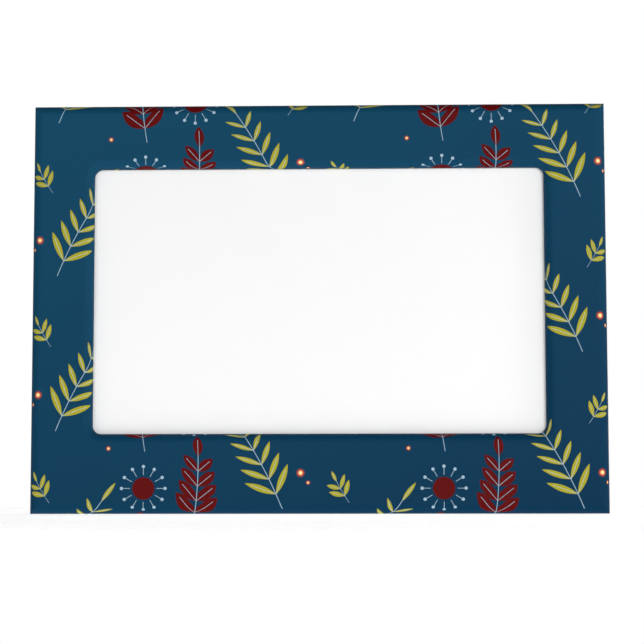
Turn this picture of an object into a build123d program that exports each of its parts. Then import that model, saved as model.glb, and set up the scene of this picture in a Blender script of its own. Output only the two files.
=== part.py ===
from build123d import *
import os

# Magnetic photo frame for a 6 by 4 inch print, which slides in through a slot in the top edge.
# Millimetres. The frame is upright: X to the viewer's right, Y from the front to the back, Z up.
# The origin is the centre of the back, on the plane that meets the steel that the frame hangs on.

# The print that the frame is made for
print_width = 152.4
print_height = 101.6
print_thickness = 0.25

# Border bars round the view, and how far they lap over the print
side_bar = 19.05
top_bar = 20.05
bottom_bar = 24.5
side_lap = 6.35
end_lap = 9.575
view_corner_radius = 2.6

# Rolled edges of the border
outer_roll_radius = 3.0
view_roll_radius = 2.6
rear_roll_radius = 0.6

# Walls of the wrap, the front and the back
wrap_thickness = 0.25
face_wall = 2.85
rim_wall = 2.0
inside_corner_radius = 0.8
back_wall = 1.8
back_gap = 0.15
back_edge_radius = 0.4
rim_setback = 0.3

# Loose sheets in the pocket, and the air round them
cover_thickness = 0.4
card_thickness = 0.4
sheet_corner_radius = 2.0
sheet_gap = 0.1
side_gap = 0.4
seat_gap = 0.1

# Slot in the top edge, and the thumb notch behind it
slot_end_gap = 0.4
slot_lead_in = 0.6
thumb_radius = 18.0
thumb_corner_radius = 3.0

# Foam tape, magnets and the adhesive film under them
foam_gap = 0.25
magnet_width = 50.8
magnet_height = 25.4
magnet_thickness = 0.8
magnet_corner_radius = 3.0
magnet_inset = 8.0
magnet_gap = 0.3
tape_thickness = 0.13
tape_inset = 0.8

# Outlines, worked out from the print
view_width = print_width - 2 * side_lap
view_height = print_height - 2 * end_lap
frame_width = view_width + 2 * side_bar
frame_height = view_height + top_bar + bottom_bar
frame_top = frame_height / 2
view_centre = frame_top - top_bar - view_height / 2
core_width = frame_width - 2 * wrap_thickness
core_height = frame_height - 2 * wrap_thickness
inside_width = core_width - 2 * rim_wall
inside_height = core_height - 2 * rim_wall
pocket_width = print_width + 2 * side_gap
pocket_floor = view_centre - print_height / 2 - seat_gap
slot_width = pocket_width + 2 * slot_end_gap
back_width = inside_width - 2 * back_gap
back_height = inside_height - 2 * back_gap

# Depths, from the back plane forward
back_plane = 0.0
recess_floor = back_plane - magnet_thickness - tape_thickness
rim_back = back_plane - rim_setback
pocket_back = back_plane - back_wall
pocket_depth = cover_thickness + print_thickness + card_thickness + 4 * sheet_gap
pocket_front = pocket_back - pocket_depth
core_front = pocket_front - face_wall


def flat_piece(outline, front, back):
    """An outline drawn in X and Z, made solid between two depths."""
    return extrude(Plane.XZ.offset(-back) * outline, back - front)


def span(left, right, foot, head, corner_radius):
    """A rectangle between two places in X and two heights, with rounded corners."""
    middle = Pos((left + right) / 2, (foot + head) / 2)
    return middle * RectangleRounded(right - left, head - foot, corner_radius)


def rolled_border(skin):
    """The border's outside, with the view cut through it, standing proud of the moulded core by skin."""
    roll_change = skin - wrap_thickness
    outline = Rectangle(core_width + 2 * skin, core_height + 2 * skin)
    border = flat_piece(outline, core_front - skin, rim_back + roll_change)
    front_edges = border.faces().sort_by(Axis.Y).first.outer_wire().edges()
    border = fillet(front_edges, outer_roll_radius + roll_change)
    rear_edges = border.faces().sort_by(Axis.Y).last.outer_wire().edges()
    border = fillet(rear_edges, rear_roll_radius + roll_change)
    view = RectangleRounded(
        view_width - 2 * roll_change,
        view_height - 2 * roll_change,
        view_corner_radius - roll_change,
    )
    border -= flat_piece(Pos(0, view_centre) * view, core_front - skin, back_plane)
    view_edges = border.faces().sort_by(Axis.Y).first.inner_wires()[0].edges()
    return fillet(view_edges, view_roll_radius + roll_change)


def hollow():
    """The space inside the rim and the slot through the top edge, both open to the back."""
    inside = RectangleRounded(inside_width, inside_height, inside_corner_radius)
    slot = Pos(0, frame_top / 2) * Rectangle(slot_width, frame_top)
    return flat_piece(inside + slot, pocket_front, back_plane)


def front_shell():
    """Moulded border: a rolled face with a rim round it, open at the back and at the slot."""
    return rolled_border(0) - hollow()


def printed_wrap():
    """Film over the shell's face, round its edges, into the view and onto the back of the rim."""
    return rolled_border(wrap_thickness) - rolled_border(0) - hollow()


def magnet_places():
    """Name and centre of each magnet, set in from the corners of the back."""
    across = back_width / 2 - magnet_inset - magnet_width / 2
    up = back_height / 2 - magnet_inset - magnet_height / 2
    return {
        "top_left": (-across, up),
        "top_right": (across, up),
        "bottom_left": (-across, -up),
        "bottom_right": (across, -up),
    }


def magnet_outline(place, grow):
    """A magnet's outline at its place, grown all round."""
    shape = RectangleRounded(
        magnet_width + 2 * grow, magnet_height + 2 * grow, magnet_corner_radius + grow
    )
    return Pos(*place) * shape


def back_cover():
    """Moulded back: a plate inside the rim, a tab that fills the slot's rear, a notch and recesses."""
    plate = RectangleRounded(back_width, back_height, inside_corner_radius)
    tab = Pos(0, frame_top / 2) * Rectangle(slot_width - 2 * back_gap, frame_top)
    outline = plate + tab - Pos(0, frame_top) * Circle(thumb_radius)
    mouth = outline.vertices().group_by(Axis.Y)[-1].sort_by(Axis.X)[1:-1]
    outline = fillet(mouth, thumb_corner_radius)
    cover = flat_piece(outline, pocket_back, back_plane)
    slot_lip = cover.faces().sort_by(Axis.Y).first.edges().filter_by(Axis.X).group_by(Axis.Z)[-1]
    cover = chamfer(slot_lip, slot_lead_in)
    rear_edges = cover.faces().sort_by(Axis.Y).last.outer_wire().edges()
    cover = fillet(rear_edges, back_edge_radius)
    for place in magnet_places().values():
        cover -= flat_piece(magnet_outline(place, magnet_gap), recess_floor, back_plane)
    return cover


def loose_sheet(outline, front, thickness):
    """A sheet of the print's size, standing in the pocket behind the view."""
    return flat_piece(Pos(0, view_centre) * outline, front, front + thickness)


def foam_strip(left, right, foot, head):
    """A strip of foam tape as deep as the pocket."""
    outline = span(left, right, foot, head, inside_corner_radius)
    return flat_piece(outline, pocket_front, pocket_back)


def loose_sheets():
    """Clear cover sheet, print and backing card, from the front of the pocket to its back."""
    square = Rectangle(print_width, print_height)
    rounded = RectangleRounded(print_width, print_height, sheet_corner_radius)
    cover_front = pocket_front + sheet_gap
    print_front = cover_front + cover_thickness + sheet_gap
    card_front = print_front + print_thickness + sheet_gap
    return {
        "cover_sheet": loose_sheet(rounded, cover_front, cover_thickness),
        "photo_print": loose_sheet(square, print_front, print_thickness),
        "backing_card": loose_sheet(rounded, card_front, card_thickness),
    }


def foam_strips():
    """Foam tape along the pocket's two sides and under its floor, out to the rim."""
    edge = pocket_width / 2
    far = inside_width / 2 - foam_gap
    foot = foam_gap - inside_height / 2
    side_foot = pocket_floor + foam_gap
    head = inside_height / 2 - foam_gap
    return {
        "foam_left": foam_strip(-far, -edge, side_foot, head),
        "foam_right": foam_strip(edge, far, side_foot, head),
        "foam_bottom": foam_strip(-far, far, foot, pocket_floor),
    }


def magnets():
    """Magnet pads flush with the back, each on a film of adhesive at the floor of its recess."""
    pieces = {}
    tape_back = recess_floor + tape_thickness
    for name, place in magnet_places().items():
        pad = magnet_outline(place, 0)
        film = magnet_outline(place, -tape_inset)
        pieces["magnet_" + name] = flat_piece(pad, tape_back, back_plane)
        pieces["tape_" + name] = flat_piece(film, recess_floor, tape_back)
    return pieces


pieces = {
    "printed_wrap": printed_wrap(),
    "front_shell": front_shell(),
    "back_cover": back_cover(),
    **loose_sheets(),
    **foam_strips(),
    **magnets(),
}

os.makedirs("parts", exist_ok=True)
for name, piece in pieces.items():
    export_step(piece, f"parts/{name}.step")
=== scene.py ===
import math
from functools import partial

import bmesh
import bpy
from bpy.props import FloatProperty, FloatVectorProperty, IntProperty, PointerProperty
from mathutils import Matrix, Vector


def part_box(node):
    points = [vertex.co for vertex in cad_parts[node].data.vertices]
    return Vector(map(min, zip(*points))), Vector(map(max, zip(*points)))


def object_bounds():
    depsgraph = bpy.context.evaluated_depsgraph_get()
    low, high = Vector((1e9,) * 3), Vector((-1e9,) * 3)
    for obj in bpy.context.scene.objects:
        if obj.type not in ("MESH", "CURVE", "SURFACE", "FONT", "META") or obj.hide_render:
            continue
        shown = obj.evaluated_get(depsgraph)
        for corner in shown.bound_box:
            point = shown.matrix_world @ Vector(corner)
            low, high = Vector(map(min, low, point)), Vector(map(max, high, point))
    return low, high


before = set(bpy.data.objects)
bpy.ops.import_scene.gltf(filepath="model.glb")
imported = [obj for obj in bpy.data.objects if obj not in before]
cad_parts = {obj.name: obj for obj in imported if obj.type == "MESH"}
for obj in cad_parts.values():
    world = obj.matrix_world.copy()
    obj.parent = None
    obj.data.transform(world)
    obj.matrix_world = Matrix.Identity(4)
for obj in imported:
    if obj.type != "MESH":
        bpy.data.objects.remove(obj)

bl_info = {
    "name": "Magnetic photo frame",
    "version": (1, 0, 0),
    "blender": (4, 5, 0),
    "location": "3D View > Sidebar > Photo frame",
    "description": "Finishes, studio and camera for a magnetic photo frame with a printed border",
    "category": "Object",
}

CAD_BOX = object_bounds()
MM = 0.001
CORNERS = ("top_left", "top_right", "bottom_left", "bottom_right")

# Half the width, in millimetres, over which the edge of an ink fades
INK_EDGE = 0.06

# The whole reach of a noise, and where most of its values lie
NOISE_REACH = (0.0, 1.0)
NOISE_MIDDLE = (0.25, 0.75)

# Lamps: where each stands, and its width and height, in metres
LAMPS = {
    "key_lamp": ((0.6, -1.65, 0.2), (0.5, 0.5)),
    "fill_lamp": ((-0.6, -1.65, 0.2), (0.5, 0.5)),
    "edge_lamp": ((1.65, -0.44, 0.2), (0.5, 0.5)),
    "back_lamp": ((0.35, 0.9, 0.1), (0.6, 0.5)),
}

# Camera: azimuth, elevation and roll in degrees, and the point that it looks at in millimetres
CAMERA_TURN = (1.527, -5.068, -0.066)
CAMERA_AIM = (0.952, 0, -4.164)


def linear(code):
    """Turns an sRGB hex colour into the linear red, green and blue that shaders work in."""
    levels = [int(code[start:start + 2], 16) / 255 for start in (1, 3, 5)]
    return [v / 12.92 if v <= 0.04045 else ((v + 0.055) / 1.055) ** 2.4 for v in levels]


def colour(name, code, description):
    """A colour that a user can change, given as sRGB hex."""
    return FloatVectorProperty(
        name=name, description=description, subtype="COLOR", size=3, min=0, max=1, default=linear(code)
    )


def length(name, millimetres, description):
    """A length that a user can change, given in millimetres and kept in metres."""
    return FloatProperty(
        name=name, description=description, unit="LENGTH", min=0, precision=5, default=millimetres * MM
    )


def strength(name, amount, description, unit="NONE"):
    """A lamp's power in watts, or a light's strength, that a user can change."""
    return FloatProperty(name=name, description=description, unit=unit, min=0, default=amount)


def add(tree, kind, inputs=(), **settings):
    """Adds a node with its settings and its inputs, by order or by name, and gives its first output."""
    node = tree.nodes.new(kind if kind.startswith("Node") else "ShaderNode" + kind)
    for name, value in settings.items():
        setattr(node, name, value)
    sockets = [socket for socket in node.inputs if socket.enabled]
    keyed = inputs if isinstance(inputs, dict) else dict(enumerate(inputs))
    for key, value in keyed.items():
        socket = sockets[key] if isinstance(key, int) else node.inputs[key]
        if isinstance(value, bpy.types.NodeSocket):
            tree.links.new(value, socket)
        else:
            socket.default_value = (*value, 1) if socket.type == "RGBA" else value
    return next((socket for socket in node.outputs if socket.enabled), None)


def new_material(name):
    """Makes a material with an empty node tree, and gives it with the call that adds nodes to it."""
    material = bpy.data.materials.new(name)
    material.use_nodes = True
    material.node_tree.nodes.clear()
    return material, partial(add, material.node_tree)


def new_group(name, numbers, masks):
    """Makes a node group that turns a place and some numbers into masks, with the call that adds nodes."""
    tree = bpy.data.node_groups.new(name, "ShaderNodeTree")
    tree.interface.new_socket("Place", in_out="INPUT", socket_type="NodeSocketVector")
    for number in numbers:
        tree.interface.new_socket(number, in_out="INPUT", socket_type="NodeSocketFloat")
    for mask in masks:
        tree.interface.new_socket(mask, in_out="OUTPUT", socket_type="NodeSocketFloat")
    return tree, partial(add, tree)


def dress(material, names):
    """Gives CAD nodes a finished material in place of the plain one that they came with."""
    for name in names:
        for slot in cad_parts[name].material_slots:
            slot.material = material


def millimetres(put):
    """A point's place on the object in millimetres, so that a pattern's scale is one over its real size."""
    metres = put("TexCoord").node.outputs["Object"]
    return put("VectorMath", {"Vector": metres, "Scale": 1 / MM}, operation="SCALE")


class FilmSettings(bpy.types.PropertyGroup):
    """Inks and repeat of the printed film"""

    # The ground's two blues are one ink, painted lighter at the upper left and darker at the lower right as
    # painted light and shade
    ground_painted_light: colour("Ground, upper left", "#104662", "Blue ink where the ground is lightest")
    ground_painted_shade: colour("Ground, lower right", "#02314D", "Blue ink where the ground is deepest")
    leaf: colour("Leaves", "#A8A12A", "Mustard ink of the leaves")
    seed: colour("Seeds", "#5D0909", "Dark red ink of the seed heads and red sprigs")
    line: colour("Fine lines", "#B0CBDC", "Pale ink of the stems, ribs and rays")
    spark: colour("Sparks", "#FFE9A8", "Middle of the small warm dots")
    ember: colour("Embers", "#D8541E", "Rim of the small warm dots")
    repeat_width: length("Repeat width", 46, "Width of one repeat of the print")
    repeat_height: length("Repeat height", 48, "Height of one repeat, by half of which columns drop in turn")
    leaf_length: length("Leaf length", 10, "Length of the largest leaf")
    line_width: length("Line width", 0.21, "Width of a printed stem")
    leaf_pairs: IntProperty(
        name="Leaf pairs", description="Pairs of leaves on the largest sprig", min=2, max=7, default=5
    )


class PieceSettings(bpy.types.PropertyGroup):
    """Colours and surface sizes of the other pieces"""

    styrene: colour("Styrene", "#F1F1EE", "White of the moulded front and back")
    paper: colour("Print", "#FBFBFB", "White of the blank photo paper")
    card: colour("Card", "#A9A59B", "Grey of the backing card")
    foam: colour("Foam", "#ECECE8", "White of the foam tape")
    magnet: colour("Magnet", "#2B2725", "Brown black of the magnet rubber")
    adhesive: colour("Adhesive", "#E9E4D2", "Straw tint of the adhesive film")
    moulded_grain: length("Moulded grain", 0.8, "Grain of the spark-eroded mould texture")
    paper_pebble: length("Paper pebble", 0.5, "Grain of the photo paper's lustre")
    roller_pitch: length("Roller pitch", 1.1, "Pitch of the roller lines on the magnet rubber")
    foam_cell: length("Foam cell", 0.4, "Size of a cell in the foam")


class StageSettings(bpy.types.PropertyGroup):
    """Table, light and camera"""

    table: colour("Table", "#F5F5F5", "White of the table")
    table_radius: length("Table radius", 900, "Radius of the table")
    table_fade: length("Table fade", 120, "Radius at which the table starts to fade out of sight")
    table_glow: strength("Table glow", 0.91, "Strength of the light from under the table")
    table_look: strength("Table look", 0.76, "Its strength in sight and in mirrors, which keeps a shadow")
    room_light: strength("Room light", 0.115, "Strength of the light from all round")
    key_lamp: strength("Key lamp", 10.7, "Power of the lamp in front on the right", "POWER")
    fill_lamp: strength("Fill lamp", 3.9, "Power of the lamp in front on the left", "POWER")
    edge_lamp: strength("Edge lamp", 7.1, "Power of the lamp beside the frame on the right", "POWER")
    back_lamp: strength("Back lamp", 5.0, "Power of the lamp behind", "POWER")
    camera_distance: length("Camera distance", 560, "From the lens to the point that it looks at")
    lens: FloatProperty(name="Lens", description="Focal length", unit="CAMERA", min=1, default=100.52)


def sprig_group():
    """A leafy sprig in millimetres, with its first pair of leaves at the origin and its stem up Y."""
    leaf_angle = math.radians(46)
    shrink_per_pair = 0.1
    tip_share = 0.7
    rib_share = 0.8
    rib_line_share = 0.36
    stem_foot = 5.0
    numbers = ("Pairs", "Pitch", "Leaf", "Breadth", "Line", "Bow")
    tree, put = new_group("leafy_sprig", numbers, ("Leaves", "Lines"))
    place, pairs, pitch, leaf, breadth, line, bow = put("NodeGroupInput").node.outputs[:7]
    across, up = put("SeparateXYZ", [place]).node.outputs[:2]

    # The stem bows to one side, so a point is taken from the stem at its own height
    squared = put("Math", [up, up], operation="MULTIPLY")
    bent = put("Math", [squared, bow], operation="MULTIPLY")
    beside = put("Math", [across, bent], operation="SUBTRACT")
    aside = put("Math", [beside], operation="ABSOLUTE")

    # The pair that the point belongs to, and its place on that pair's leaf
    level = put("Math", [aside, -1 / math.tan(leaf_angle), up], operation="MULTIPLY_ADD")
    share = put("Math", [level, pitch], operation="DIVIDE")
    nearest = put("Math", [share], operation="ROUND")
    last = put("Math", [pairs, 1.0], operation="SUBTRACT")
    pair = put("Clamp", [nearest, 0.0, last])
    root = put("Math", [pair, pitch], operation="MULTIPLY")
    above = put("Math", [up, root], operation="SUBTRACT")
    from_root = put("CombineXYZ", [aside, above])
    turned = put("VectorRotate", {"Vector": from_root, "Angle": leaf_angle}, rotation_type="Z_AXIS")
    off_rib, along = put("SeparateXYZ", [turned]).node.outputs[:2]
    smaller = put("Math", [pair, -shrink_per_pair, 1.0], operation="MULTIPLY_ADD")
    pair_size = put("Math", [leaf, smaller], operation="MULTIPLY")

    # One more leaf stands on the tip, in line with the stem
    tip = put("Math", [pairs, pitch], operation="MULTIPLY")
    past_tip = put("Math", [up, tip], operation="SUBTRACT")
    tip_size = put("Math", [leaf, tip_share], operation="MULTIPLY")

    # How far the point lies inside a leaf and inside its rib
    rib_half = put("Math", [line, rib_line_share], operation="MULTIPLY")
    leaves, ribs = [], []
    for reach, side, size in ((along, off_rib, pair_size), (past_tip, beside, tip_size)):
        off = put("Math", [side], operation="ABSOLUTE")
        part = put("Math", [reach, size], operation="DIVIDE")
        rest = put("Math", [part, -2.0, 2.0], operation="MULTIPLY_ADD")
        arch = put("Math", [part, rest], operation="MULTIPLY")
        width = put("Math", [size, breadth], operation="MULTIPLY")
        half_width = put("Math", [arch, width], operation="MULTIPLY")
        leaves.append(put("Math", [half_width, off], operation="SUBTRACT"))
        rib_end = put("Math", [size, rib_share], operation="MULTIPLY")
        to_end = put("Math", [rib_end, reach], operation="SUBTRACT")
        on_rib = put("Math", [rib_half, off], operation="SUBTRACT")
        ended = put("Math", [on_rib, to_end], operation="MINIMUM")
        ribs.append(put("Math", [ended, reach], operation="MINIMUM"))

    # The stem runs from a little below the first pair up to the tip
    half_line = put("Math", [line, 0.5], operation="MULTIPLY")
    on_stem = put("Math", [half_line, aside], operation="SUBTRACT")
    over_foot = put("Math", [up, stem_foot], operation="ADD")
    footed = put("Math", [on_stem, over_foot], operation="MINIMUM")
    to_tip = put("Math", [tip, up], operation="SUBTRACT")
    stem = put("Math", [footed, to_tip], operation="MINIMUM")

    blades = put("Math", leaves, operation="MAXIMUM")
    fine = put("Math", [put("Math", ribs, operation="MAXIMUM"), stem], operation="MAXIMUM")
    put("NodeGroupOutput", [
        put("MapRange", [inside, -INK_EDGE, INK_EDGE], interpolation_type="SMOOTHSTEP")
        for inside in (blades, fine)
    ])
    return tree


def seed_head_group():
    """A seed head in millimetres: a disc with fine rays round it, and a dot on the end of each."""
    rays = 12
    disc_radius = 3.4
    ray_start = 4.1
    ray_end = 6.2
    dot_place = 6.7
    dot_radius = 0.5
    ray_line_share = 0.4
    tree, put = new_group("seed_head", ("Line",), ("Disc", "Lines"))
    place, line = put("NodeGroupInput").node.outputs[:2]
    across, up = put("SeparateXYZ", [place]).node.outputs[:2]
    out = put("VectorMath", [place], operation="LENGTH")

    # How far the point lies to one side of the nearest ray
    angle = put("Math", [up, across], operation="ARCTAN2")
    share = put("Math", [angle, rays / math.tau], operation="MULTIPLY")
    nearest = put("Math", [share], operation="ROUND")
    off = put("Math", [share, nearest], operation="SUBTRACT")
    turn = put("Math", [off, math.tau / rays], operation="MULTIPLY")
    beside = put("Math", [out, turn], operation="MULTIPLY")
    aside = put("Math", [beside], operation="ABSOLUTE")

    # How far it lies inside the disc, a ray and a dot
    disc = put("Math", [disc_radius, out], operation="SUBTRACT")
    half_line = put("Math", [line, ray_line_share], operation="MULTIPLY")
    on_ray = put("Math", [half_line, aside], operation="SUBTRACT")
    past_start = put("Math", [out, ray_start], operation="SUBTRACT")
    started = put("Math", [on_ray, past_start], operation="MINIMUM")
    to_end = put("Math", [ray_end, out], operation="SUBTRACT")
    ray = put("Math", [started, to_end], operation="MINIMUM")
    past_dot = put("Math", [out, dot_place], operation="SUBTRACT")
    from_dot = put("VectorMath", [put("CombineXYZ", [past_dot, beside])], operation="LENGTH")
    dot = put("Math", [dot_radius, from_dot], operation="SUBTRACT")
    fine = put("Math", [ray, dot], operation="MAXIMUM")
    put("NodeGroupOutput", [
        put("MapRange", [inside, -INK_EDGE, INK_EDGE], interpolation_type="SMOOTHSTEP")
        for inside in (disc, fine)
    ])
    return tree


def unrolled(put, point):
    """Where a point lies across and up the film once its rolled edges are laid out flat, in millimetres."""
    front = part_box("printed_wrap")[0].y / MM
    facing = put("NewGeometry").node.outputs["Normal"]
    across, deep, up = put("SeparateXYZ", [point]).node.outputs
    aside, _, over = put("SeparateXYZ", [facing]).node.outputs
    behind = put("Math", [deep, front], operation="SUBTRACT")
    flat_across = put("Math", [aside, behind, across], operation="MULTIPLY_ADD")
    flat_up = put("Math", [over, behind, up], operation="MULTIPLY_ADD")
    return flat_across, flat_up


def half_drop(put, across, up, width, height):
    """A place within one repeat of the print, from its centre.

    Every second column is dropped by half a repeat and turned over.
    """
    columns = put("Math", [across, width], operation="DIVIDE")
    column = put("Math", [columns], operation="FLOOR")
    odd = put("Math", [column, 2.0], operation="FLOORED_MODULO")
    dropped = put("Math", [odd, height / 2, up], operation="MULTIPLY_ADD")
    in_column = put("Math", [across, width], operation="FLOORED_MODULO")
    in_row = put("Math", [dropped, height], operation="FLOORED_MODULO")
    from_middle = put("Math", [in_column, width / 2], operation="SUBTRACT")
    side = put("Math", [odd, -2.0, 1.0], operation="MULTIPLY_ADD")
    turned = put("Math", [from_middle, side], operation="MULTIPLY")
    over_middle = put("Math", [in_row, height / 2], operation="SUBTRACT")
    return put("CombineXYZ", [turned, over_middle])


def ground_ink_painted_shade(put, film, across, up):
    """The blue ground, painted darker a little across the film and more down it: painted light at the upper
    left and painted shade at the lower right.
    """
    share_across, share_down, share_at_middle = 0.35, 0.65, 0.5
    low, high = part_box("printed_wrap")
    per_across = share_across * MM / (high.x - low.x)
    per_up = -share_down * MM / (high.z - low.z)
    # The ground is painted darker across the film and more down it, as painted shade
    right = put("Math", [across, per_across, share_at_middle], operation="MULTIPLY_ADD")
    painted_shade_share = put("Math", [up, per_up, right], operation="MULTIPLY_ADD")
    return put("Mix", [painted_shade_share, film.ground_painted_light, film.ground_painted_shade], data_type="RGBA")


def plant_inks(put, film, cell, ink):
    """Sprigs and a seed head laid over an ink, with their fine lines over them."""
    # Sprigs of one repeat: root, lean in degrees, scale, pairs, breadth of a leaf over its length, ink
    sprigs = (
        ((-10.0, -9.5, 0), -24, 1.0, film.leaf_pairs, 0.2, film.leaf),
        ((15.0, -16.0, 0), 8, 0.9, film.leaf_pairs - 1, 0.48, film.seed),
        ((-15.0, 14.0, 0), 32, 0.5, 2, 0.3, film.leaf),
    )
    seed_head = (15.3, 16.3, 0)
    stem_bow = 0.004
    line_cover = 0.8
    line = film.line_width / MM
    leaf = film.leaf_length / MM
    pitch = leaf / 2
    sprig = sprig_group()
    lines = []
    for root, lean, scale, pairs, breadth, paint in sprigs:
        turn = (0, 0, math.radians(lean))
        place = put("Mapping", [cell, root, turn, (scale,) * 3], vector_type="TEXTURE")
        sizes = [pairs, pitch, leaf, breadth, line, stem_bow]
        drawn = put("Group", [place, *sizes], node_tree=sprig).node.outputs
        ink = put("Mix", [drawn["Leaves"], ink, paint], data_type="RGBA")
        lines.append(drawn["Lines"])
    from_head = put("VectorMath", [cell, seed_head], operation="SUBTRACT")
    drawn = put("Group", [from_head, line], node_tree=seed_head_group()).node.outputs
    ink = put("Mix", [drawn["Disc"], ink, film.seed], data_type="RGBA")
    fine = drawn["Lines"]
    for sprig_lines in lines:
        fine = put("Math", [fine, sprig_lines], operation="MAXIMUM")
    cover = put("Math", [fine, line_cover], operation="MULTIPLY")
    return put("Mix", [cover, ink, film.line], data_type="RGBA")


def spark_inks(put, film, cell, ink):
    """Small warm dots laid over an ink, each with a hot middle that fades into its rim."""
    # Centre and radius of each dot, then the shares of the radius over which each ink fades
    sparks = (((-17.5, -3.0, 0), 1.5), ((-19.8, -6.0, 0), 0.8), ((4.5, -19.5, 0), 0.9))
    rings = ((film.ember, 1.0, 0.35), (film.spark, 0.55, 0.2))
    for centre, radius in sparks:
        away = put("VectorMath", [cell, centre], operation="DISTANCE")
        for paint, outer, inner in rings:
            glow = put("MapRange", [away, radius * outer, radius * inner], interpolation_type="SMOOTHSTEP")
            ink = put("Mix", [glow, ink, paint], data_type="RGBA")
    return ink


def printed_film(film):
    """PVC film, calendered, printed and laminated satin."""
    # Flat inks with clean edges under a broad dull shine, on a sheet that is never quite even.
    # The ink's real grain is near 0.1 mm, and is drawn coarser so that it shows
    ink_grain = 0.4
    densities = (0.96, 1.04)
    unevenness = 3.0
    unevenness_depth = 0.02
    roughness = (0.46, 0.56)
    material, put = new_material("pvc_film_printed_satin")
    point = millimetres(put)
    across, up = unrolled(put, point)
    cell = half_drop(put, across, up, film.repeat_width / MM, film.repeat_height / MM)
    ink = ground_ink_painted_shade(put, film, across, up)
    ink = plant_inks(put, film, cell, ink)
    ink = spark_inks(put, film, cell, ink)
    grain = put("TexNoise", {"Vector": point, "Scale": 1 / ink_grain, "Detail": 1.0})
    density = put("MapRange", [grain, *NOISE_MIDDLE, *densities])
    ink = put("VectorMath", {"Vector": ink, "Scale": density}, operation="SCALE")
    peel = put("TexNoise", {"Vector": point, "Scale": 1 / unevenness, "Detail": 2.0})
    rough = put("MapRange", [peel, *NOISE_REACH, *roughness])
    relief = put("Bump", {"Strength": 0.25, "Distance": unevenness_depth * MM, "Height": peel})
    shader = put("BsdfPrincipled", {
        "Base Color": ink, "Roughness": rough, "IOR": 1.53, "Specular IOR Level": 0.05, "Normal": relief,
    })
    put("OutputMaterial", [shader])
    return material


def moulded_styrene(pieces):
    """High-impact polystyrene, injection moulded in a spark-eroded tool."""
    # A clean white with a dull grain, and faint clouds where the plastic cooled unevenly.
    # The real grain is near 0.1 mm, and is drawn coarser so that it shows
    cloud_size = 30.0
    grain_depth = 0.08
    grain_weight = 2.0
    mixed_middle = (1.0, 2.0)
    tones = (0.94, 1.0)
    roughness = (0.42, 0.6)
    material, put = new_material("polystyrene_moulded_matt")
    point = millimetres(put)
    grain = put("TexNoise", {"Vector": point, "Scale": MM / pieces.moulded_grain, "Detail": 2.0})
    cloud = put("TexNoise", {"Vector": point, "Scale": 1 / cloud_size, "Detail": 2.0})
    mixed = put("Math", [grain, grain_weight, cloud], operation="MULTIPLY_ADD")
    tone = put("MapRange", [mixed, *mixed_middle, *tones])
    white = put("VectorMath", {"Vector": pieces.styrene, "Scale": tone}, operation="SCALE")
    rough = put("MapRange", [grain, *NOISE_REACH, *roughness])
    relief = put("Bump", {"Strength": 0.6, "Distance": grain_depth * MM, "Height": grain})
    shader = put("BsdfPrincipled", {
        "Base Color": white, "Roughness": rough, "IOR": 1.59, "Specular IOR Level": 0.4, "Normal": relief,
    })
    put("OutputMaterial", [shader])
    return material


def clear_pet():
    """PET sheet, extruded clear and die cut."""
    # One crisp reflection from its face, and cut edges that gather a little pale green light.
    # An edge is told by how little its surface faces front or back
    index = 1.57
    edge_facing = (0.6, 0.4)
    edge_cover = (0.0, 0.6)
    material, put = new_material("pet_sheet_extruded_clear")
    surface = put("NewGeometry").node.outputs
    mirror = put("Fresnel", {"IOR": index})
    front = put("Math", [1.0, surface["Backfacing"]], operation="SUBTRACT")
    shine = put("Math", [mirror, front], operation="MULTIPLY")
    clear = put("BsdfTransparent", [linear("#FFFFFF")])
    gloss = put("BsdfGlossy", {"Color": linear("#FFFFFF"), "Roughness": 0.05})
    face = put("MixShader", [shine, clear, gloss])
    deep = put("SeparateXYZ", [surface["Normal"]]).node.outputs["Y"]
    flat = put("Math", [deep], operation="ABSOLUTE")
    edge = put("MapRange", [flat, *edge_facing, *edge_cover])
    cut = put("BsdfPrincipled", {"Base Color": linear("#BFD3CC"), "Roughness": 0.3, "IOR": index})
    shader = put("MixShader", [edge, face, cut])
    put("OutputMaterial", [shader])
    return material


def photo_paper(pieces):
    """Photo paper, resin coated and pressed to a lustre, left blank."""
    # A clean white with a pebbled shine.
    # The real pebble is near 0.2 mm, and is drawn coarser so that it shows
    pebble_depth = 0.01
    tones = (0.985, 1.0)
    roughness = (0.32, 0.45)
    material, put = new_material("photo_paper_lustre_blank")
    point = millimetres(put)
    pebble = put("TexNoise", {"Vector": point, "Scale": MM / pieces.paper_pebble, "Detail": 1.0})
    tone = put("MapRange", [pebble, *NOISE_REACH, *tones])
    white = put("VectorMath", {"Vector": pieces.paper, "Scale": tone}, operation="SCALE")
    rough = put("MapRange", [pebble, *NOISE_REACH, *roughness])
    relief = put("Bump", {"Strength": 0.3, "Distance": pebble_depth * MM, "Height": pebble})
    shader = put("BsdfPrincipled", {
        "Base Color": white, "Roughness": rough, "IOR": 1.5, "Specular IOR Level": 0.3, "Normal": relief,
    })
    put("OutputMaterial", [shader])
    return material


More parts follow.
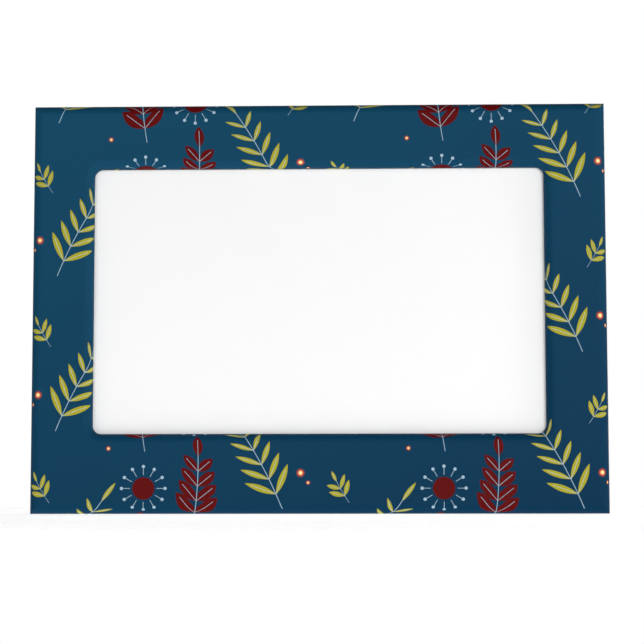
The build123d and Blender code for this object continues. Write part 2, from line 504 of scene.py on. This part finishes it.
def grey_board(pieces):
    """Grey board, pressed from recycled pulp."""
    # A dull clouded grey with scattered dark flecks of old print
    pulp_size = 4.0
    pulp_depth = 0.03
    pulp_middle = (0.3, 0.7)
    tones = (0.86, 1.08)
    fleck_spacing = 2.2
    fleck_edge = (0.12, 0.06)
    fleck_cover = (0.0, 0.35)
    material, put = new_material("grey_board_pressed")
    point = millimetres(put)
    pulp = put("TexNoise", {"Vector": point, "Scale": 1 / pulp_size, "Detail": 5.0, "Roughness": 0.7})
    tone = put("MapRange", [pulp, *pulp_middle, *tones])
    grey = put("VectorMath", {"Vector": pieces.card, "Scale": tone}, operation="SCALE")
    from_fleck = put("TexVoronoi", {"Vector": point, "Scale": 1 / fleck_spacing})
    fleck = put("MapRange", [from_fleck, *fleck_edge, *fleck_cover])
    grey = put("Mix", [fleck, grey, linear("#5E5A52")], data_type="RGBA")
    relief = put("Bump", {"Strength": 0.4, "Distance": pulp_depth * MM, "Height": pulp})
    shader = put("BsdfPrincipled", {
        "Base Color": grey, "Roughness": 0.9, "IOR": 1.5, "Specular IOR Level": 0.2, "Normal": relief,
    })
    put("OutputMaterial", [shader])
    return material


def foam_tape(pieces):
    """Polyethylene foam, cross-linked and slit into tape."""
    # A soft white made of small round cells, with no shine
    cell_depth = 0.1
    cell_middle = (0.0, 0.7)
    tones = (0.88, 1.0)
    material, put = new_material("polyethylene_foam_slit")
    point = millimetres(put)
    cells = put("TexVoronoi", {"Vector": point, "Scale": MM / pieces.foam_cell})
    tone = put("MapRange", [cells, *cell_middle, *tones])
    white = put("VectorMath", {"Vector": pieces.foam, "Scale": tone}, operation="SCALE")
    relief = put("Bump", {"Strength": 0.6, "Distance": cell_depth * MM, "Height": cells})
    shader = put("BsdfPrincipled", {
        "Base Color": white, "Roughness": 0.85, "IOR": 1.5, "Specular IOR Level": 0.2, "Normal": relief,
    })
    put("OutputMaterial", [shader])
    return material


def magnet_rubber(pieces):
    """Ferrite-filled rubber, calendered and die cut."""
    # A brown black with roller lines along its length and paler specks of ferrite.
    # Real specks are under 0.1 mm, and are drawn coarser so that they show
    speck_size = 0.6
    speck_weight = 1.2
    line_depth = 0.05
    mixed_middle = (0.5, 1.7)
    tones = (0.4, 1.8)
    roughness = (0.45, 0.7)
    # At a scale of one, a wave texture has this many waves in a length of one
    waves_per_scale = 20 / math.tau
    material, put = new_material("ferrite_rubber_calendered")
    point = millimetres(put)
    wave_scale = MM / pieces.roller_pitch / waves_per_scale
    wave = {"Vector": point, "Scale": wave_scale, "Distortion": 0.6, "Detail": 2.0}
    rollers = put("TexWave", wave, bands_direction="Z")
    speck = put("TexNoise", {"Vector": point, "Scale": 1 / speck_size, "Detail": 2.0})
    mixed = put("Math", [speck, speck_weight, rollers], operation="MULTIPLY_ADD")
    tone = put("MapRange", [mixed, *mixed_middle, *tones])
    black = put("VectorMath", {"Vector": pieces.magnet, "Scale": tone}, operation="SCALE")
    rough = put("MapRange", [speck, *NOISE_REACH, *roughness])
    relief = put("Bump", {"Strength": 0.5, "Distance": line_depth * MM, "Height": mixed})
    shader = put("BsdfPrincipled", {
        "Base Color": black, "Roughness": rough, "IOR": 1.52, "Specular IOR Level": 0.3, "Normal": relief,
    })
    put("OutputMaterial", [shader])
    return material


def adhesive_film(pieces):
    """Acrylic adhesive, cast as a transfer film."""
    # A faint straw tint with a wet shine and slow streaks
    streak_size = 5.0
    tones = (0.9, 1.0)
    roughness = (0.15, 0.3)
    material, put = new_material("acrylic_adhesive_cast")
    point = millimetres(put)
    flow = put("TexNoise", {"Vector": point, "Scale": 1 / streak_size, "Detail": 2.0})
    tone = put("MapRange", [flow, *NOISE_REACH, *tones])
    straw = put("VectorMath", {"Vector": pieces.adhesive, "Scale": tone}, operation="SCALE")
    rough = put("MapRange", [flow, *NOISE_REACH, *roughness])
    shader = put("BsdfPrincipled", {"Base Color": straw, "Roughness": rough, "IOR": 1.47})
    put("OutputMaterial", [shader])
    return material


def table_acrylic(stage):
    """Opal acrylic, cast with a matt face and lit from under it."""
    # An even white that keeps a soft shadow, and that fades out of sight away from the object,
    # over a stretch that is this share of the radius where it starts to fade
    fade_share = 0.7
    fade_end = stage.table_fade * (1 + fade_share)
    material, put = new_material("opal_acrylic_cast_matt")
    metres = put("TexCoord").node.outputs["Object"]
    away = put("VectorMath", [metres], operation="LENGTH")
    far = put("MapRange", [away, stage.table_fade, fade_end], interpolation_type="SMOOTHSTEP")
    path = put("LightPath").node.outputs
    fade = put("Math", [far, path["Is Camera Ray"]], operation="MULTIPLY")
    shown = put("Math", [path["Is Camera Ray"], path["Is Glossy Ray"]], operation="MAXIMUM")
    shown = put("Math", [shown, path["Is Transmission Ray"]], operation="MAXIMUM")
    glow = put("Mix", [shown, stage.table_glow, stage.table_look])
    opal = put("BsdfPrincipled", {
        "Base Color": stage.table, "Roughness": 0.9, "IOR": 1.49, "Specular IOR Level": 0.2,
        "Emission Color": stage.table, "Emission Strength": glow,
    })
    shader = put("MixShader", [fade, opal, put("BsdfTransparent")])
    put("OutputMaterial", [shader])
    return material


def make_table(stage):
    """Lays a round table under the lowest edge of the frame."""
    sides = 96
    mesh = bpy.data.meshes.new("studio_table")
    shape = bmesh.new()
    bmesh.ops.create_circle(shape, cap_ends=True, segments=sides, radius=stage.table_radius)
    shape.to_mesh(mesh)
    shape.free()
    mesh.materials.append(table_acrylic(stage))
    table = bpy.data.objects.new("studio_table", mesh)
    table.location.z = CAD_BOX[0].z
    bpy.context.scene.collection.objects.link(table)


def make_lamp(name, place, size, watts):
    """Hangs a soft rectangular lamp that faces the frame, out of the camera's sight."""
    lamp = bpy.data.lights.new(name, "AREA")
    lamp.shape = "RECTANGLE"
    lamp.size, lamp.size_y = size
    lamp.energy = watts
    holder = bpy.data.objects.new(name, lamp)
    holder.location = place
    holder.rotation_euler = (-Vector(place)).to_track_quat("-Z", "Y").to_euler()
    holder.visible_camera = False
    bpy.context.scene.collection.objects.link(holder)


def make_room(stage):
    """Sets a low even light, in a room that is white to the camera, and behind the frame in reflections."""
    front_strength, back_strength = 0.12, 1.0
    rise_to_back = (0.3, 0.9)
    world = bpy.data.worlds.new("studio_room")
    world.use_nodes = True
    world.node_tree.nodes.clear()
    put = partial(add, world.node_tree)
    path = put("LightPath").node.outputs
    way = put("TexCoord").node.outputs["Generated"]
    deep = put("SeparateXYZ", [way]).node.outputs["Y"]
    behind = put("MapRange", [deep, *rise_to_back, front_strength, back_strength])
    mirrored = put("Math", [path["Is Glossy Ray"], behind], operation="MULTIPLY")
    seen = put("Math", [path["Is Camera Ray"], path["Is Transmission Ray"]], operation="MAXIMUM")
    white = put("Math", [seen, mirrored], operation="MAXIMUM")
    light = put("Math", [white, stage.room_light], operation="MAXIMUM")
    put("OutputWorld", [put("Background", [linear("#FFFFFF"), light])])
    bpy.context.scene.world = world


def make_camera(stage):
    """Sets the camera at the photograph's viewing angle."""
    azimuth, elevation, roll = (math.radians(turn) for turn in CAMERA_TURN)
    level = math.cos(elevation)
    back = Vector((math.sin(azimuth) * level, -math.cos(azimuth) * level, math.sin(elevation)))
    lens = bpy.data.cameras.new("camera")
    lens.lens = stage.lens
    lens.clip_start = 0.01
    camera = bpy.data.objects.new("camera", lens)
    turn = (-back).to_track_quat("-Z", "Y").to_matrix() @ Matrix.Rotation(roll, 3, "Z")
    place = Vector(CAMERA_AIM) * MM + back * stage.camera_distance
    camera.matrix_world = Matrix.Translation(place) @ turn.to_4x4()
    bpy.context.scene.collection.objects.link(camera)
    bpy.context.scene.camera = camera


class PHOTOFRAME_OT_printed_wrap(bpy.types.Operator):
    """Print and laminate the film that wraps the border"""

    bl_idname = "photo_frame.printed_wrap"
    bl_label = "Printed wrap"
    bl_options = {"REGISTER", "UNDO"}

    def execute(self, context):
        dress(printed_film(context.scene.photo_frame_film), ["printed_wrap"])
        return {"FINISHED"}


class PHOTOFRAME_OT_mouldings(bpy.types.Operator):
    """Finish the moulded front shell and back cover"""

    bl_idname = "photo_frame.mouldings"
    bl_label = "Mouldings"
    bl_options = {"REGISTER", "UNDO"}

    def execute(self, context):
        dress(moulded_styrene(context.scene.photo_frame_pieces), ["front_shell", "back_cover"])
        return {"FINISHED"}


class PHOTOFRAME_OT_cover_sheet(bpy.types.Operator):
    """Finish the clear sheet in front of the print"""

    bl_idname = "photo_frame.cover_sheet"
    bl_label = "Cover sheet"
    bl_options = {"REGISTER", "UNDO"}

    def execute(self, context):
        dress(clear_pet(), ["cover_sheet"])
        return {"FINISHED"}


class PHOTOFRAME_OT_photo_print(bpy.types.Operator):
    """Finish the blank print that shows in the view"""

    bl_idname = "photo_frame.photo_print"
    bl_label = "Photo print"
    bl_options = {"REGISTER", "UNDO"}

    def execute(self, context):
        dress(photo_paper(context.scene.photo_frame_pieces), ["photo_print"])
        return {"FINISHED"}


class PHOTOFRAME_OT_backing_card(bpy.types.Operator):
    """Finish the card behind the print"""

    bl_idname = "photo_frame.backing_card"
    bl_label = "Backing card"
    bl_options = {"REGISTER", "UNDO"}

    def execute(self, context):
        dress(grey_board(context.scene.photo_frame_pieces), ["backing_card"])
        return {"FINISHED"}


class PHOTOFRAME_OT_foam(bpy.types.Operator):
    """Finish the foam tape round the pocket"""

    bl_idname = "photo_frame.foam"
    bl_label = "Foam tape"
    bl_options = {"REGISTER", "UNDO"}

    def execute(self, context):
        names = ["foam_" + side for side in ("left", "right", "bottom")]
        dress(foam_tape(context.scene.photo_frame_pieces), names)
        return {"FINISHED"}


class PHOTOFRAME_OT_magnets(bpy.types.Operator):
    """Finish the magnet pads in the back"""

    bl_idname = "photo_frame.magnets"
    bl_label = "Magnets"
    bl_options = {"REGISTER", "UNDO"}

    def execute(self, context):
        dress(magnet_rubber(context.scene.photo_frame_pieces), ["magnet_" + corner for corner in CORNERS])
        return {"FINISHED"}


class PHOTOFRAME_OT_tapes(bpy.types.Operator):
    """Finish the adhesive film under the magnet pads"""

    bl_idname = "photo_frame.tapes"
    bl_label = "Adhesive film"
    bl_options = {"REGISTER", "UNDO"}

    def execute(self, context):
        dress(adhesive_film(context.scene.photo_frame_pieces), ["tape_" + corner for corner in CORNERS])
        return {"FINISHED"}


class PHOTOFRAME_OT_stage(bpy.types.Operator):
    """Set the table, the lamps, the room and the camera"""

    bl_idname = "photo_frame.stage"
    bl_label = "Stage"
    bl_options = {"REGISTER", "UNDO"}

    def execute(self, context):
        stage = context.scene.photo_frame_stage
        context.scene.view_settings.view_transform = "Standard"
        make_table(stage)
        for name, (place, size) in LAMPS.items():
            make_lamp(name, place, size, getattr(stage, name))
        make_room(stage)
        make_camera(stage)
        return {"FINISHED"}


OPERATORS = (
    PHOTOFRAME_OT_printed_wrap,
    PHOTOFRAME_OT_mouldings,
    PHOTOFRAME_OT_cover_sheet,
    PHOTOFRAME_OT_photo_print,
    PHOTOFRAME_OT_backing_card,
    PHOTOFRAME_OT_foam,
    PHOTOFRAME_OT_magnets,
    PHOTOFRAME_OT_tapes,
    PHOTOFRAME_OT_stage,
)
SETTINGS = {
    "photo_frame_film": FilmSettings,
    "photo_frame_pieces": PieceSettings,
    "photo_frame_stage": StageSettings,
}


class PHOTOFRAME_PT_panel(bpy.types.Panel):
    """The frame's operators and settings"""

    bl_label = "Photo frame"
    bl_space_type = "VIEW_3D"
    bl_region_type = "UI"
    bl_category = "Photo frame"

    def draw(self, context):
        for operator in OPERATORS:
            self.layout.operator(operator.bl_idname)
        for name, group in SETTINGS.items():
            box = self.layout.box()
            for field in group.__annotations__:
                box.prop(getattr(context.scene, name), field)


CLASSES = (*SETTINGS.values(), *OPERATORS, PHOTOFRAME_PT_panel)


def register():
    """Makes the settings, operators and panel known."""
    for item in CLASSES:
        bpy.utils.register_class(item)
    for name, group in SETTINGS.items():
        setattr(bpy.types.Scene, name, PointerProperty(type=group))


def unregister():
    """Takes the settings, operators and panel away again."""
    for name in SETTINGS:
        delattr(bpy.types.Scene, name)
    for item in reversed(CLASSES):
        bpy.utils.unregister_class(item)


def main():
    """Finishes every piece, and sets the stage."""
    register()
    for operator in OPERATORS:
        getattr(bpy.ops.photo_frame, operator.bl_idname.split(".")[1])()


if __name__ == "__main__":
    main()
